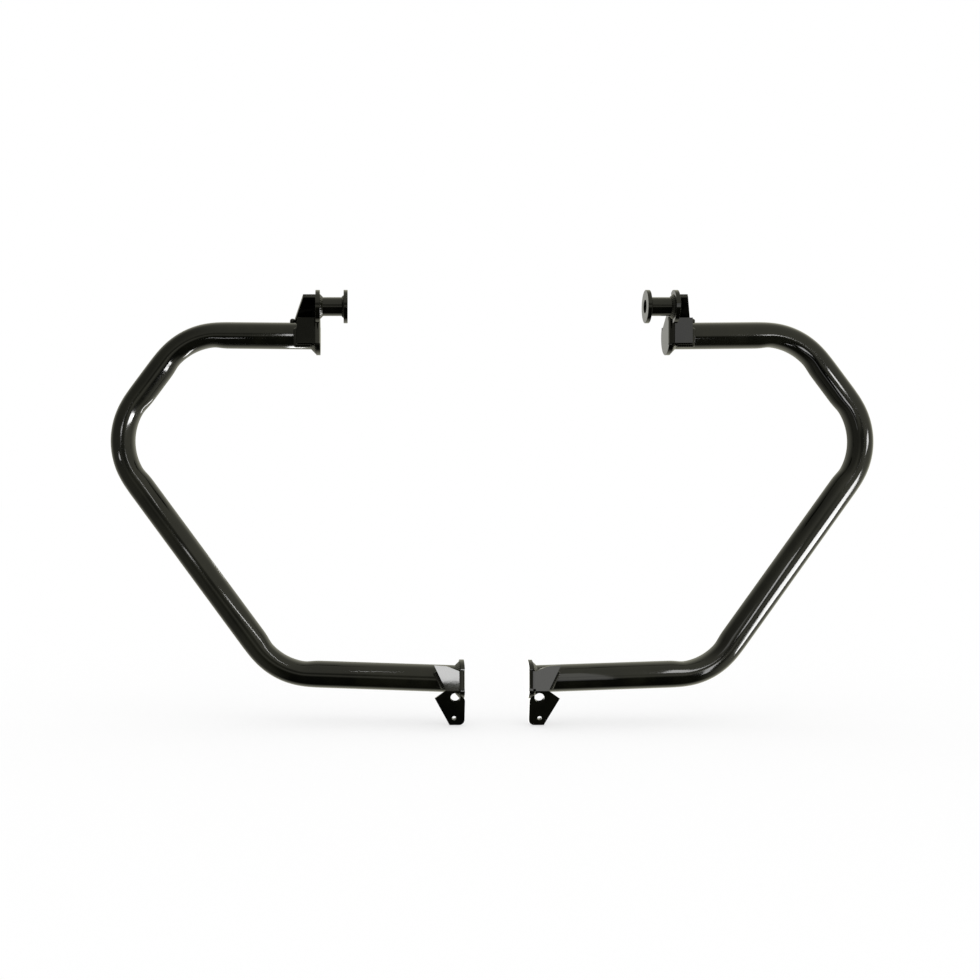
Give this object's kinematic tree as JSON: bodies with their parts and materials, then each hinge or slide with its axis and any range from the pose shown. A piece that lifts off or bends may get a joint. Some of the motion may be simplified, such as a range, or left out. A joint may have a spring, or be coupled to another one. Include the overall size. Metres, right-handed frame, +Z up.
{
  "type": "motorcycle crash bars",
  "caption": "Pair of bent tube engine guards, each with a folded upper bracket and bolt spacer and a folded lower bracket with a bolt ear.",
  "frame": {"origin": "middle of the box across and in depth, at the height of the lower ears' bottom edges", "axes": "+X across the bike to the side seen at the right, +Y away from the viewer, +Z up"},
  "size_m": [0.7356, 0.0712, 0.4063],
  "materials": {
    "paint": "gloss black powder coat"
  },
  "bodies": {
    "root": {"right_tube": "paint", "right_upper_bracket": "paint", "right_spacer_sleeve": "paint", "right_spacer_washer": "paint", "right_lower_bracket": "paint", "right_upper_tube_weld": "paint", "right_front_flange_weld": "paint", "right_back_flange_weld": "paint", "right_spacer_weld": "paint", "right_washer_weld": "paint", "right_lower_tube_weld": "paint", "right_web_weld": "paint", "left_tube": "paint", "left_upper_bracket": "paint", "left_spacer_sleeve": "paint", "left_spacer_washer": "paint", "left_lower_bracket": "paint", "left_upper_tube_weld": "paint", "left_front_flange_weld": "paint", "left_back_flange_weld": "paint", "left_spacer_weld": "paint", "left_washer_weld": "paint", "left_lower_tube_weld": "paint", "left_web_weld": "paint"}
  },
  "joints": []
}
